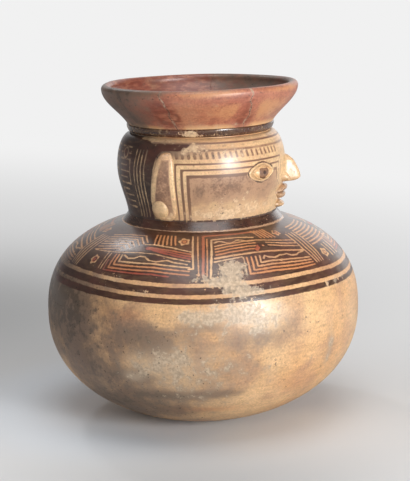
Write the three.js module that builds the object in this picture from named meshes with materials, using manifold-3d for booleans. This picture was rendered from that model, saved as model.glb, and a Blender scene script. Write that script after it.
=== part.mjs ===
import * as THREE from "three";
import { mergeVertices } from "three/addons/utils/BufferGeometryUtils.js";
import Module from "manifold-3d";

// A hollow globular jar of fired clay whose neck is a human head. Millimetres, +Z up.
// The origin is on the body's axis, in the plane that the jar rests on. The face looks towards -Y.
// Angles round the jar are in degrees from the nose and grow towards the head's own left, which is +X.

// Body
const BODY_RADIUS = 117;
const EQUATOR_HEIGHT = 80.3;
const SHOULDER_HEIGHT = 149.4; // the plane that the neck stands on
const RESTING_FLAT_RADIUS = 29.3;
const BODY_WALL = 7;
const FLOOR_THICKNESS = 6;
const LOWER_FULLNESS = 2.12; // power of the outline: 2 is an ellipse and more is squarer
const UPPER_FULLNESS = 2.54;

// Heights of the courses of the body's wall, from the floor up. One more closes in from there to the neck.
const BASE_COURSE = 30;
const LOWER_BELLY_COURSE = 32;
const UPPER_BELLY_COURSE = 34;
const LOWER_SHOULDER_COURSE = 28;

// Neck, which is the barrel of the head. Its heights count from the shoulder.
const NECK_OFFSET = 1.5; // how far its axis stands towards the face from the body's axis
const NECK_FOOT_RADIUS = 55.5;
const NECK_BULGE_RADIUS = 62.8;
const NECK_BULGE_HEIGHT = 39.6;
const THROAT_RADIUS = 52.2;
const NECK_HEIGHT = 64.6;
const NECK_WALL = 7;
const FOOT_ROLL_HEIGHT = 5.2;
const FOOT_ROLL_WIDTH = 5.2;

// Flared rim. Its heights count from the top of the neck.
const LIP_RADIUS = 72.7;
const LIP_HEIGHT = 32.5; // where the lip is widest
const LIP_CREST = 3.2; // from there to the crest
const RIM_WALL = 7;
const RIDGE_WIDTH = 6;
const RIDGE_THICKNESS = 1.4;

// Old breaks across the rim: the angle at mid height, and how far each leans from upright
const BREAK_SIDE_ANGLE = -101.3;
const BREAK_FRONT_ANGLE = -49;
const BREAK_BACK_ANGLE = 91;
const BREAK_LEAN = -10;

// Ears: flat slabs, each with a round pellet on its lower back corner
const EAR_ANGLE = 109.7;
const EAR_WIDTH = 20;
const EAR_TAPER = 0.4; // the share of its width that an ear loses at the top
const EAR_HEIGHT = 50;
const EAR_THICKNESS = 4.2;
const PELLET_WIDTH = 13;
const PELLET_HEIGHT = 14;
const PELLET_THICKNESS = 2.4;
const PELLET_MARGIN = 1.6; // from the ear's edge to the pellet

// Face: plain proportions, in thirds of its height for the brow and nose
const CHIN_LEVEL = 6.6; // above the shoulder
const FACE_HEIGHT = 56;
const EYE_ANGLE = 38;
const EYE_WIDTH = 25;
const EYE_HEIGHT = 13;
const EYE_THICKNESS = 2.6;
const NOSE_WIDTH = 23;
const NOSE_TIP = 13; // how far the tip stands out
const NOSE_ROOT = 3; // how far the bridge runs up past the brow
const BRIDGE_WIDTH = 9;
const BRIDGE_RISE = 4;
const LIP_THICKNESS = 4.4;
const UPPER_LIP_WIDTH = 35;
const UPPER_LIP_HEIGHT = 5.2;
const LOWER_LIP_WIDTH = 28;
const LOWER_LIP_HEIGHT = 5.4;
const CHIN_WIDTH = 20;
const CHIN_PAD_HEIGHT = 6.2;
const CHIN_THICKNESS = 5.4;

// The gap left at every joint between two pieces, and the fineness of the surfaces
const JOINT_GAP = 0.3;
const STEPS_ROUND = 48;

const BUFF_CLAY = 0xc49a6c;
const PAINTED_SHOULDER = 0x8a5a3c;
const HEAD_SLIP = 0xb98f66;
const RED_SLIP = 0xa4553c;
const DARK_SLIP = 0x3a2a22;
const CREAM_SLIP = 0xd9b98a;

const wasm = await Module();
wasm.setup();

const radians = THREE.MathUtils.degToRad;

// The body's outline is two quarter superellipses that meet at the equator.
const lowerDepth =
  EQUATOR_HEIGHT / (1 - (RESTING_FLAT_RADIUS / BODY_RADIUS) ** LOWER_FULLNESS) ** (1 / LOWER_FULLNESS);
const upperRise =
  (SHOULDER_HEIGHT - EQUATOR_HEIGHT) /
  (1 - (NECK_FOOT_RADIUS / BODY_RADIUS) ** UPPER_FULLNESS) ** (1 / UPPER_FULLNESS);

const outerShell = { radius: BODY_RADIUS, depth: lowerDepth, rise: upperRise };
const innerShell = {
  radius: BODY_RADIUS - BODY_WALL,
  depth: EQUATOR_HEIGHT - FLOOR_THICKNESS,
  rise: upperRise - BODY_WALL,
};

// A point of a shell at a turn from -90 degrees, at the bottom, through 0, at the equator.
function shellPoint(shell, turn) {
  const power = turn < 0 ? LOWER_FULLNESS : UPPER_FULLNESS;
  const reach = turn < 0 ? -shell.depth : shell.rise;
  const across = Math.max(Math.cos(radians(turn)), 0) ** (2 / power);
  const along = Math.abs(Math.sin(radians(turn))) ** (2 / power);
  return new THREE.Vector2(shell.radius * across, EQUATOR_HEIGHT + reach * along);
}

function turnAtHeight(shell, height) {
  const above = height - EQUATOR_HEIGHT;
  const power = above < 0 ? LOWER_FULLNESS : UPPER_FULLNESS;
  const share = Math.min(Math.abs(above) / (above < 0 ? shell.depth : shell.rise), 1);
  return Math.sign(above) * THREE.MathUtils.radToDeg(Math.asin(share ** (power / 2)));
}

function turnAtRadius(shell, radius) {
  return THREE.MathUtils.radToDeg(Math.acos((radius / shell.radius) ** (UPPER_FULLNESS / 2)));
}

// Points of a curve, from its start to its end.
function sample(curve, start, end, steps) {
  return Array.from({ length: steps + 1 }, (_, i) => curve(start + ((end - start) * i) / steps));
}

// A shell's outline between two turns, with a point on the equator where it passes it.
function outline(shell, start, end, steps) {
  const curve = (turn) => shellPoint(shell, turn);
  if (start * end >= 0) return sample(curve, start, end, steps);
  const before = Math.max(Math.round((steps * start) / (start - end)), 1);
  const after = Math.max(steps - before, 1);
  return [...sample(curve, start, 0, before), ...sample(curve, 0, end, after).slice(1)];
}

// An S-curve from 0 to 1 that is level at both ends.
const easeInOut = (share) => (1 - Math.cos(Math.PI * share)) / 2;

function neckRadius(height) {
  if (height <= NECK_BULGE_HEIGHT) {
    const share = Math.max(height / NECK_BULGE_HEIGHT, 0);
    return NECK_FOOT_RADIUS + (NECK_BULGE_RADIUS - NECK_FOOT_RADIUS) * easeInOut(share);
  }
  const share = Math.min((height - NECK_BULGE_HEIGHT) / (NECK_HEIGHT - NECK_BULGE_HEIGHT), 1);
  return THROAT_RADIUS + (NECK_BULGE_RADIUS - THROAT_RADIUS) * Math.sqrt(1 - share * share);
}

function rimRadius(height) {
  return THROAT_RADIUS + (LIP_RADIUS - THROAT_RADIUS) * easeInOut(height / LIP_HEIGHT);
}

// A solid of revolution. Its section runs up its outer side and down its inner side.
function turned(section, height = 0) {
  const geometry = new THREE.LatheGeometry(section, STEPS_ROUND);
  return geometry.rotateX(Math.PI / 2).translate(0, 0, height);
}

function ring(section, height = 0) {
  return turned([...section, section[0].clone()], height);
}

// Solids for cutting and joining
function toSolid(geometry) {
  const bare = geometry.clone();
  bare.deleteAttribute("normal");
  bare.deleteAttribute("uv");
  const merged = mergeVertices(bare, 1e-3);
  const vertProperties = merged.attributes.position.array;
  const triVerts = new Uint32Array(merged.index.array);
  return new wasm.Manifold(new wasm.Mesh({ numProp: 3, vertProperties, triVerts }));
}

function toGeometry(solid) {
  const mesh = solid.getMesh();
  const geometry = new THREE.BufferGeometry();
  geometry.setAttribute("position", new THREE.BufferAttribute(mesh.vertProperties, mesh.numProp));
  geometry.setIndex(new THREE.BufferAttribute(mesh.triVerts, 1));
  geometry.computeVertexNormals();
  return geometry;
}

// Body, from the floor up
const halfGap = JOINT_GAP / 2;
const bellyJoint = BASE_COURSE + LOWER_BELLY_COURSE;
const shoulderJoint = bellyJoint + UPPER_BELLY_COURSE;
const bandJoint = shoulderJoint + LOWER_SHOULDER_COURSE;

function baseBowl() {
  const top = turnAtHeight(outerShell, BASE_COURSE - halfGap);
  const outside = outline(outerShell, turnAtHeight(outerShell, 0), top, 6);
  const inside = outline(innerShell, top, -90, 7);
  return turned([new THREE.Vector2(0, 0), ...outside, ...inside]);
}

function wallCourse(lowJoint, highJoint) {
  const bottom = turnAtHeight(outerShell, lowJoint + halfGap);
  const top = turnAtHeight(outerShell, highJoint - halfGap);
  return ring([...outline(outerShell, bottom, top, 4), ...outline(innerShell, top, bottom, 3)]);
}

// The last course closes the shoulder in and gives the neck its level seat.
const neckInnerFoot = NECK_FOOT_RADIUS - NECK_WALL;

function upperShoulder() {
  const bottom = turnAtHeight(outerShell, bandJoint + halfGap);
  const outside = outline(outerShell, bottom, turnAtRadius(outerShell, NECK_FOOT_RADIUS), 6);
  const inside = outline(innerShell, turnAtRadius(innerShell, neckInnerFoot), bottom, 5);
  return ring([...outside, new THREE.Vector2(neckInnerFoot, SHOULDER_HEIGHT), ...inside]);
}

// Neck and rim, with heights from the shoulder
const neckPoint = (height) => new THREE.Vector2(neckRadius(height), height);
const neckInnerPoint = (height) => new THREE.Vector2(neckRadius(height) - NECK_WALL, height);

// The head's barrel has a joint at its widest place.
function lowerHead() {
  const top = NECK_BULGE_HEIGHT - halfGap;
  const outside = sample(neckPoint, JOINT_GAP, top, 6);
  return ring([...outside, ...sample(neckInnerPoint, top, JOINT_GAP, 4)], SHOULDER_HEIGHT);
}

function upperHead() {
  const bottom = NECK_BULGE_HEIGHT + halfGap;
  const rise = NECK_HEIGHT - bottom;
  // Equal turns of the quarter ellipse under the rim keep its corner round.
  const outside = sample((turn) => neckPoint(bottom + rise * Math.sin(radians(turn))), 0, 90, 6);
  return ring([...outside, ...sample(neckInnerPoint, NECK_HEIGHT, bottom, 4)], SHOULDER_HEIGHT);
}

// The little roll of clay in the corner between neck and shoulder
function footRoll() {
  const against = (height) => new THREE.Vector2(neckRadius(height) + JOINT_GAP, height);
  const inner = against(FOOT_ROLL_HEIGHT);
  const outer = new THREE.Vector2(NECK_FOOT_RADIUS + JOINT_GAP + FOOT_ROLL_WIDTH, -FOOT_ROLL_HEIGHT / 2);
  const knee = new THREE.Vector2(inner.x + FOOT_ROLL_WIDTH * 0.45, FOOT_ROLL_HEIGHT * 0.35);
  const face = new THREE.QuadraticBezierCurve(outer, knee, inner).getPoints(4);
  const back = [against(FOOT_ROLL_HEIGHT / 2), against(-FOOT_ROLL_HEIGHT)];
  const under = new THREE.Vector2(outer.x, -FOOT_ROLL_HEIGHT);
  const roll = toSolid(ring([under, ...face, ...back], SHOULDER_HEIGHT).translate(0, -NECK_OFFSET, 0));
  const grown = { radius: BODY_RADIUS + JOINT_GAP, depth: lowerDepth, rise: upperRise + JOINT_GAP };
  const start = turnAtHeight(grown, bandJoint);
  const shoulder = outline(grown, start, 90, 24);
  const clearance = toSolid(turned([new THREE.Vector2(0, shoulder[0].y), ...shoulder]));
  const cut = roll.subtract(clearance);
  return toGeometry(cut).translate(0, NECK_OFFSET, 0);
}

// The flare keeps its wall square to the slope, and the lip is half an ellipse.
function rimPoint(share) {
  return new THREE.Vector2(rimRadius(share * LIP_HEIGHT), share * LIP_HEIGHT);
}

function rimInnerPoint(share) {
  const step = 1e-3;
  const slope = rimPoint(Math.min(share + step, 1)).sub(rimPoint(Math.max(share - step, 0)));
  const outward = new THREE.Vector2(slope.y, -slope.x).normalize();
  return rimPoint(share).addScaledVector(outward, -RIM_WALL);
}

function rimRing() {
  const outside = sample(rimPoint, 0, 1, 7);
  const middle = LIP_RADIUS - RIM_WALL / 2;
  // The half ellipse's two ends belong to the outer and the inner face.
  const halfEllipse = sample((turn) => {
    const across = (Math.cos(radians(turn)) * RIM_WALL) / 2;
    return new THREE.Vector2(middle + across, LIP_HEIGHT + LIP_CREST * Math.sin(radians(turn)));
  }, 0, 180, 6);
  const lip = halfEllipse.slice(1, -1);
  const inside = sample(rimInnerPoint, 1, 0, 6);
  return ring([...outside, ...lip, ...inside], SHOULDER_HEIGHT + NECK_HEIGHT + JOINT_GAP);
}

// All that lies on one side of a break, half a joint gap away from it
function sideOfBreak(angle, side) {
  const size = 4 * LIP_RADIUS;
  const block = new THREE.BoxGeometry(size, size, size).translate(side * (size / 2 + halfGap), 0, 0);
  block.rotateY(radians(BREAK_LEAN)).rotateZ(radians(angle));
  return toSolid(block.translate(0, 0, SHOULDER_HEIGHT + NECK_HEIGHT + LIP_HEIGHT / 2));
}

function rimSherd(startAngle, endAngle) {
  const piece = toSolid(rimRing()).intersect(sideOfBreak(startAngle, 1));
  return toGeometry(piece.intersect(sideOfBreak(endAngle, -1)));
}

// The raised ridge lies in the throat, against the foot of the rim.
function throatRidge() {
  const start = 2 * JOINT_GAP;
  const against = (share) => {
    const height = start + share * RIDGE_WIDTH;
    return new THREE.Vector2(rimRadius(height) + JOINT_GAP, height);
  };
  const face = (share) => {
    const point = against(share);
    point.x += RIDGE_THICKNESS * Math.sqrt(Math.max(Math.sin(Math.PI * share), 0));
    return point;
  };
  const outside = sample(face, 0, 1, 6);
  const inside = sample(against, 0.75, 0.25, 2);
  return ring([...outside, ...inside], SHOULDER_HEIGHT + NECK_HEIGHT);
}

// A pad of clay laid on the neck or, with a base, on another pad. Its outline is a superellipse,
// and its rings run from the middle to the edge. The nose and the ears pass their own taper.
const PAD_RINGS = [0.4, 0.7, 0.88, 0.97, 1];

function pad({
  angle, level, width, height, base = 0, squareness = 2, steps = 20, lift, taper = () => 1, lean = () => 0,
}) {
  const spotAt = (share, turn) => {
    const [across, up] = [Math.cos(turn), Math.sin(turn)];
    const reach = (part) => share * Math.sign(part) * Math.abs(part) ** (2 / squareness);
    return new THREE.Vector2((reach(across) * width) / 2, (reach(up) * height) / 2);
  };
  const place = (share, turn, raised) => {
    const spot = spotAt(share, turn);
    const highness = (2 * spot.y) / height;
    const round = radians(angle) + (spot.x * taper(highness) + lean(highness)) / NECK_BULGE_RADIUS;
    const seat = neckRadius(level + spot.y) + JOINT_GAP + base;
    const out = raised ? seat + lift(share, highness) : seat;
    return new THREE.Vector3(out * Math.sin(round), -out * Math.cos(round), SHOULDER_HEIGHT + level + spot.y);
  };
  const corners = [];
  const addFace = (raised, a, b, c) => corners.push(...(raised ? [a, b, c] : [a, c, b]));
  for (const raised of [true, false]) {
    for (let i = 0; i < steps; i++) {
      const [here, next] = [i, (i + 1) % steps].map((step) => (step * 2 * Math.PI) / steps);
      const spoke = PAD_RINGS.map((share) => [place(share, here, raised), place(share, next, raised)]);
      addFace(raised, place(0, 0, raised), ...spoke[0]);
      for (let k = 0; k + 1 < spoke.length; k++) {
        const [[a, d], [b, c]] = [spoke[k], spoke[k + 1]];
        addFace(raised, a, b, c);
        addFace(raised, a, c, d);
      }
    }
  }
  const geometry = new THREE.BufferGeometry().setFromPoints(corners);
  geometry.computeVertexNormals();
  return geometry;
}

// The lift of a rounded pad: a higher power keeps more of it flat.
const crowned = (thickness, power = 2) => (share) => thickness * Math.sqrt(1 - share ** power);

const earLevel = FOOT_ROLL_HEIGHT + JOINT_GAP + EAR_HEIGHT / 2;

// An ear's front edge is upright, and its back edge leans towards it in the upper part.
function ear(side) {
  const size = { width: EAR_WIDTH, height: EAR_HEIGHT, lift: crowned(EAR_THICKNESS, 10) };
  const taper = (highness) => 1 - (EAR_TAPER * Math.max(highness + 0.4, 0)) / 1.4;
  const lean = (highness) => (-side * (1 - taper(highness)) * EAR_WIDTH) / 2;
  return pad({ angle: side * EAR_ANGLE, level: earLevel, ...size, squareness: 4, steps: 28, taper, lean });
}

function earPellet(side) {
  const inward = EAR_WIDTH / 2 - PELLET_MARGIN - PELLET_WIDTH / 2;
  const angle = side * (EAR_ANGLE + THREE.MathUtils.radToDeg(inward / NECK_BULGE_RADIUS));
  const level = earLevel - EAR_HEIGHT / 2 + PELLET_MARGIN + PELLET_HEIGHT / 2;
  const size = { width: PELLET_WIDTH, height: PELLET_HEIGHT, lift: crowned(PELLET_THICKNESS, 3) };
  return pad({ angle, level, ...size, base: EAR_THICKNESS + JOINT_GAP });
}

// Face
const browLevel = CHIN_LEVEL + (FACE_HEIGHT * 2) / 3;
const noseBaseLevel = CHIN_LEVEL + FACE_HEIGHT / 3;
const eyeLevel = CHIN_LEVEL + FACE_HEIGHT * 0.57;
const mouthLevel = CHIN_LEVEL + FACE_HEIGHT * 0.22;

function eye(side) {
  const size = { width: EYE_WIDTH, height: EYE_HEIGHT, lift: crowned(EYE_THICKNESS) };
  return pad({ angle: side * EYE_ANGLE, level: eyeLevel, ...size, squareness: 1.6 });
}

// The nose widens and rises from the bridge to a tip low on its length, and turns under at the base.
function nose() {
  const round = crowned(1, 4);
  const lift = (share, highness) => {
    const down = Math.min((1 - highness) / 1.5, 1);
    return round(share) * (BRIDGE_RISE + (NOSE_TIP - BRIDGE_RISE) * down);
  };
  const taper = (highness) => 1 - (1 - BRIDGE_WIDTH / NOSE_WIDTH) * Math.max(highness, 0);
  const top = browLevel + NOSE_ROOT;
  const size = { width: NOSE_WIDTH, height: top - noseBaseLevel, lift, taper };
  return pad({ angle: 0, level: (top + noseBaseLevel) / 2, ...size, squareness: 2.6, steps: 24 });
}

function lip(level, width, height) {
  return pad({ angle: 0, level, width, height, lift: crowned(LIP_THICKNESS, 3), squareness: 1.8 });
}

function upperLip() {
  return lip(mouthLevel + (UPPER_LIP_HEIGHT + JOINT_GAP) / 2, UPPER_LIP_WIDTH, UPPER_LIP_HEIGHT);
}

function lowerLip() {
  return lip(mouthLevel - (LOWER_LIP_HEIGHT + JOINT_GAP) / 2, LOWER_LIP_WIDTH, LOWER_LIP_HEIGHT);
}

function chin() {
  const size = { width: CHIN_WIDTH, height: CHIN_PAD_HEIGHT, lift: crowned(CHIN_THICKNESS) };
  return pad({ angle: 0, level: CHIN_LEVEL + CHIN_PAD_HEIGHT / 2, ...size });
}

// Assembly
const vessel = new THREE.Group();
const head = new THREE.Group();
head.position.y = -NECK_OFFSET;
vessel.add(head);

function addPiece(group, name, geometry, color, roughness) {
  const material = new THREE.MeshStandardMaterial({ color, roughness, metalness: 0 });
  const mesh = new THREE.Mesh(geometry, material);
  mesh.name = name;
  group.add(mesh);
}

addPiece(vessel, "base_bowl", baseBowl(), BUFF_CLAY, 0.5);
const courses = [
  ["lower_belly_wall", BASE_COURSE, bellyJoint, BUFF_CLAY],
  ["upper_belly_wall", bellyJoint, shoulderJoint, BUFF_CLAY],
  ["lower_shoulder_wall", shoulderJoint, bandJoint, PAINTED_SHOULDER],
];
for (const [name, lowJoint, highJoint, color] of courses) {
  addPiece(vessel, name, wallCourse(lowJoint, highJoint), color, 0.45);
}
addPiece(vessel, "upper_shoulder_wall", upperShoulder(), PAINTED_SHOULDER, 0.35);
addPiece(head, "neck_foot_roll", footRoll(), DARK_SLIP, 0.3);
addPiece(head, "lower_head_wall", lowerHead(), HEAD_SLIP, 0.4);
addPiece(head, "upper_head_wall", upperHead(), HEAD_SLIP, 0.4);
addPiece(head, "throat_ridge", throatRidge(), DARK_SLIP, 0.3);

const breaks = [
  ["rim_sherd_side", BREAK_SIDE_ANGLE, BREAK_FRONT_ANGLE],
  ["rim_sherd_front", BREAK_FRONT_ANGLE, BREAK_BACK_ANGLE],
  ["rim_sherd_back", BREAK_BACK_ANGLE, BREAK_SIDE_ANGLE + 360],
];
for (const [name, start, end] of breaks) {
  addPiece(head, name, rimSherd(start, end), RED_SLIP, 0.5);
}

for (const [name, side] of [["right", -1], ["left", 1]]) {
  addPiece(head, name + "_ear", ear(side), HEAD_SLIP, 0.45);
  addPiece(head, name + "_ear_pellet", earPellet(side), CREAM_SLIP, 0.45);
  addPiece(head, name + "_eye", eye(side), CREAM_SLIP, 0.4);
}
addPiece(head, "nose", nose(), CREAM_SLIP, 0.4);
addPiece(head, "upper_lip", upperLip(), CREAM_SLIP, 0.4);
addPiece(head, "lower_lip", lowerLip(), CREAM_SLIP, 0.4);
addPiece(head, "chin", chin(), CREAM_SLIP, 0.4);

export default vessel;
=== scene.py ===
"""The looks of a globular clay jar whose neck is a human head.

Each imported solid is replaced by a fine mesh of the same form: wall courses, sherds of the rim, rolls and
pads of clay. The painting is a list of brush strokes. Each mesh keeps, for every vertex, how far it lies
from the dark slip, and the clay material draws the slip from that.

Sizes are in millimetres and become metres when a mesh is made. Angles round the jar are in degrees from
the nose and grow towards +X. The painting counts its own from PAINTING_START, the middle of one panel.
"""

import math

import bpy
import numpy as np
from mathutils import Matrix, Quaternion, Vector


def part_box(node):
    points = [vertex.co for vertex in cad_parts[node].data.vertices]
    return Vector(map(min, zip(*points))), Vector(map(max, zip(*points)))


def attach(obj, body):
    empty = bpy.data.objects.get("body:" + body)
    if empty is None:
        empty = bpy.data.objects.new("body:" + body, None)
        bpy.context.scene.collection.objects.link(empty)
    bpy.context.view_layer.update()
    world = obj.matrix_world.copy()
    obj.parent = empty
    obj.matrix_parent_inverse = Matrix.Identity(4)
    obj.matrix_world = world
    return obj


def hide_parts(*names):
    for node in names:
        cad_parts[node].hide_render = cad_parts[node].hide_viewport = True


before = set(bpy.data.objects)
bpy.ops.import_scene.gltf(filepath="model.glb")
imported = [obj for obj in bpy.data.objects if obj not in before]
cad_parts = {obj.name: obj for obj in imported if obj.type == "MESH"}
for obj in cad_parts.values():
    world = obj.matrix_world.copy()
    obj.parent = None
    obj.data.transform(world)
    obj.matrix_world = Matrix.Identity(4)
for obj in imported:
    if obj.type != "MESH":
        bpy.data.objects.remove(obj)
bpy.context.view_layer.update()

MM = 0.001


def box(node):
    """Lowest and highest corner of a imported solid, in millimetres."""
    return [np.array(corner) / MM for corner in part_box(node)]


def joint_between(lower, upper):
    """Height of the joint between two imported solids."""
    return (box(lower)[1][2] + box(upper)[0][2]) / 2


# Sizes

JOINT_GAP = 0.3
BODY_RADIUS = box("upper_belly_wall")[1][0]
EQUATOR_HEIGHT = 80.3
RESTING_FLAT_RADIUS = 29.3
BODY_WALL = 7
FLOOR_THICKNESS = 6
LOWER_FULLNESS = 2.12
UPPER_FULLNESS = 2.54
SHOULDER_HEIGHT = box("upper_shoulder_wall")[1][2]

NECK_OFFSET = 1.5  # how far the neck's axis stands towards the face
NECK_FOOT_RADIUS = 55.5
NECK_BULGE_RADIUS = 62.8
NECK_BULGE_HEIGHT = 39.6
THROAT_RADIUS = 52.2
NECK_HEIGHT = 64.6
NECK_WALL = 7
NECK_TOP = SHOULDER_HEIGHT + NECK_HEIGHT

LIP_RADIUS = 72.7
LIP_HEIGHT = 32.5
LIP_CREST = 3.2
RIM_WALL = 7
RIDGE_WIDTH = 6
RIDGE_THICKNESS = 1.4
FOOT_ROLL_HEIGHT = 5.2
FOOT_ROLL_WIDTH = 5.2
ROLL_EDGE = NECK_FOOT_RADIUS + JOINT_GAP + FOOT_ROLL_WIDTH

EAR_ANGLE = 109.7
EAR_WIDTH = 20
EAR_TAPER = 0.4
EAR_HEIGHT = 50
EAR_THICKNESS = 4.2
PELLET_WIDTH = 13
PELLET_HEIGHT = 14
PELLET_THICKNESS = 2.4
PELLET_MARGIN = 1.6
EAR_LEVEL = FOOT_ROLL_HEIGHT + JOINT_GAP + EAR_HEIGHT / 2

CHIN_LEVEL = 6.6
FACE_HEIGHT = 56
BROW_LEVEL = CHIN_LEVEL + FACE_HEIGHT * 2 / 3
NOSE_BASE_LEVEL = CHIN_LEVEL + FACE_HEIGHT / 3
EYE_LEVEL = CHIN_LEVEL + FACE_HEIGHT * 0.57
MOUTH_LEVEL = CHIN_LEVEL + FACE_HEIGHT * 0.22
EYE_ANGLE = 38
EYE_WIDTH = 25
EYE_HEIGHT = 13
EYE_THICKNESS = 2.6
EYE_POINTEDNESS = 1.6
NOSE_WIDTH = 23
NOSE_TIP = 13
NOSE_ROOT = 3
LIP_THICKNESS = 4.4
UPPER_LIP_WIDTH = 35
UPPER_LIP_HEIGHT = 5.2
LOWER_LIP_WIDTH = 28
LOWER_LIP_HEIGHT = 5.4
CHIN_WIDTH = 20
CHIN_PAD_HEIGHT = 6.2
CHIN_THICKNESS = 5.4

# The hand-built walls lie a little inside their true rounds, and the lip dips below its true plane.
UNEVENNESS = 0.55
EVEN_MIDDLE = 20  # the radius inside which the base gets even
LIP_DIP = 0.7
BREAK_GAP = 0.22  # the crack along each mended break
SUNK = 0.7  # how far a pad's hidden underside lies in the wall

PAINTING_START = -82  # angle of the painting's own zero
PAINTED_TOP = NECK_TOP + 2.6  # the height from which the head's painting counts down


# Outlines


def smooth(value, low, high):
    """0 below low, 1 above high, and an S-curve between them. High may be the lower one."""
    share = np.clip((value - low) / (high - low), 0, 1)
    return share * share * (3 - 2 * share)


SHELL_POINTS = 6001


def superellipse(radius, depth, rise):
    """Points (radius, height) of half a shell's outline, from the lowest to the highest."""
    turn = np.radians(np.linspace(-90, 90, SHELL_POINTS))
    power = np.where(turn < 0, LOWER_FULLNESS, UPPER_FULLNESS)
    across = np.clip(np.cos(turn), 0, None) ** (2 / power)
    along = np.sign(turn) * np.abs(np.sin(turn)) ** (2 / power)
    height = EQUATOR_HEIGHT + along * np.where(turn < 0, depth, rise)
    return np.stack([radius * across, height], axis=1)


class Curve:
    """An outline through points (radius, height), or the part between two heights, read by its own length."""

    def __init__(self, points, low=None, high=None):
        self.points = np.asarray(points, float)
        steps = np.hypot(*np.diff(self.points, axis=0).T)
        self.lengths = np.concatenate([[0], np.cumsum(steps)])
        self.start = 0 if low is None else self.length_at_height(low)
        self.total = (self.lengths[-1] if high is None else self.length_at_height(high)) - self.start

    def at(self, length):
        """The point at a length, which may lie beyond a part's ends."""
        length = length + self.start
        return np.stack([np.interp(length, self.lengths, column) for column in self.points.T], axis=-1)

    def length_at_height(self, height):
        return np.interp(height, self.points[:, 1], self.lengths)


def depth_through(radius_at_cut, radius, height, fullness):
    """Half height of a superellipse with a given radius at a given height from its middle."""
    return height / (1 - (radius_at_cut / radius) ** fullness) ** (1 / fullness)


LOWER_DEPTH = depth_through(RESTING_FLAT_RADIUS, BODY_RADIUS, EQUATOR_HEIGHT, LOWER_FULLNESS)
UPPER_RISE = depth_through(NECK_FOOT_RADIUS, BODY_RADIUS, SHOULDER_HEIGHT - EQUATOR_HEIGHT, UPPER_FULLNESS)

POLE_RADIUS = 1.5  # where the bowl's rows end and the fan that closes it begins
shell = superellipse(BODY_RADIUS, LOWER_DEPTH, UPPER_RISE)
shell = shell[(shell[:, 1] >= 0) & (shell[:, 1] <= SHOULDER_HEIGHT)]
shell = np.vstack([[POLE_RADIUS, 0], [RESTING_FLAT_RADIUS, 0], shell, [NECK_FOOT_RADIUS, SHOULDER_HEIGHT]])
body_outside = Curve(shell)
hollow = superellipse(BODY_RADIUS - BODY_WALL, EQUATOR_HEIGHT - FLOOR_THICKNESS, UPPER_RISE - BODY_WALL)
above = hollow[:, 1] > EQUATOR_HEIGHT
hollow = hollow[hollow[:, 0] > np.where(above, NECK_FOOT_RADIUS - NECK_WALL, POLE_RADIUS)]
body_inside = np.vstack([hollow, [NECK_FOOT_RADIUS - NECK_WALL, SHOULDER_HEIGHT]])


def neck_radius(level):
    """Radius of the head's barrel at a level above the shoulder."""
    level = np.asarray(level, float)
    low = np.clip(level / NECK_BULGE_HEIGHT, 0, 1)
    high = np.clip((level - NECK_BULGE_HEIGHT) / (NECK_HEIGHT - NECK_BULGE_HEIGHT), 0, 1)
    swell = NECK_FOOT_RADIUS + (NECK_BULGE_RADIUS - NECK_FOOT_RADIUS) * (1 - np.cos(np.pi * low)) / 2
    draw_in = (NECK_BULGE_RADIUS - THROAT_RADIUS) * (1 - np.sqrt(1 - high * high))
    return swell - draw_in


def rim_radius(level):
    """Radius of the flare's outer face at a level above the neck."""
    share = np.clip(np.asarray(level, float) / LIP_HEIGHT, 0, 1)
    return THROAT_RADIUS + (LIP_RADIUS - THROAT_RADIUS) * (1 - np.cos(np.pi * share)) / 2


BREAKS = {"side": -101.3, "front": -49, "back": 91}
BREAK_LEAN = -10


def break_line(name, side=0, turn=0):
    """The angle of a mended break at each height: jagged, and half a crack to one side of its middle."""
    phase = BREAKS[name]

    def angle(height):
        above = height - (NECK_TOP + LIP_HEIGHT / 2)
        jag = 0.9 * np.sin(above / 2.9 + phase) + 0.5 * np.sin(above / 1.3 + 2 * phase)
        aside = above * math.tan(math.radians(BREAK_LEAN)) + jag + side * BREAK_GAP / 2
        return phase + turn + np.degrees(aside / ((THROAT_RADIUS + LIP_RADIUS) / 2))

    return angle


def uneven(angle, height):
    """How far a hand-built wall lies inside its true round, from 0 to UNEVENNESS."""
    turn = np.radians(angle)
    waves = 0.5 * np.sin(2 * turn + 0.6 + height / 45) + 0.3 * np.sin(3 * turn - 1.1 - height / 28)
    waves += 0.2 * np.sin(7 * turn + height / 13)
    return UNEVENNESS * (1 - waves) / 2


def lip_dip(angle, height):
    """How far the lip lies below its true plane."""
    turn = np.radians(angle)
    waves = 0.6 * np.sin(2 * turn + 1.9) + 0.4 * np.sin(5 * turn)
    return LIP_DIP * (1 - waves) / 2 * smooth(height, NECK_TOP + 12, NECK_TOP + LIP_HEIGHT)


def place(radius, height, angle, offset=0.0):
    """The point of the real, uneven surface, in millimetres."""
    turn = np.radians(angle)
    out = radius - uneven(angle, height) * np.clip(radius / EVEN_MIDDLE, 0, 1)
    level = height - lip_dip(angle, height)
    return np.stack([out * np.sin(turn), -out * np.cos(turn) - offset, level], axis=-1)


# Painting


def panel_drift(angle):
    """How far the painted bands sink below their first height."""
    angles = [-60, -50, -40, -30, -20, -10, 0, 20, 30, 40, 50, 60, 70, 180, 300]
    drifts = [-0.3, 0, 0.8, 1.7, 2.3, 3, 3.1, 2.6, 2.1, 2, 2.4, 3.2, 3.6, 1.6, -0.3]
    return np.interp(angle, angles, drifts, period=360)


LIGHT_STROKE = 0.86  # how much of a light stroke's width the dark slip beside it left free
LAYERS = ("slip", "tint", "wear", "smoke")
NO_SLIP = 6  # far from any dark slip
TINT_SPREAD = 0.7  # how far a light stroke's colour goes on under the dark slip


def wrapped(angle):
    """The same angle, from -180 to 180 degrees."""
    return (angle + 180) % 360 - 180


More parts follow.
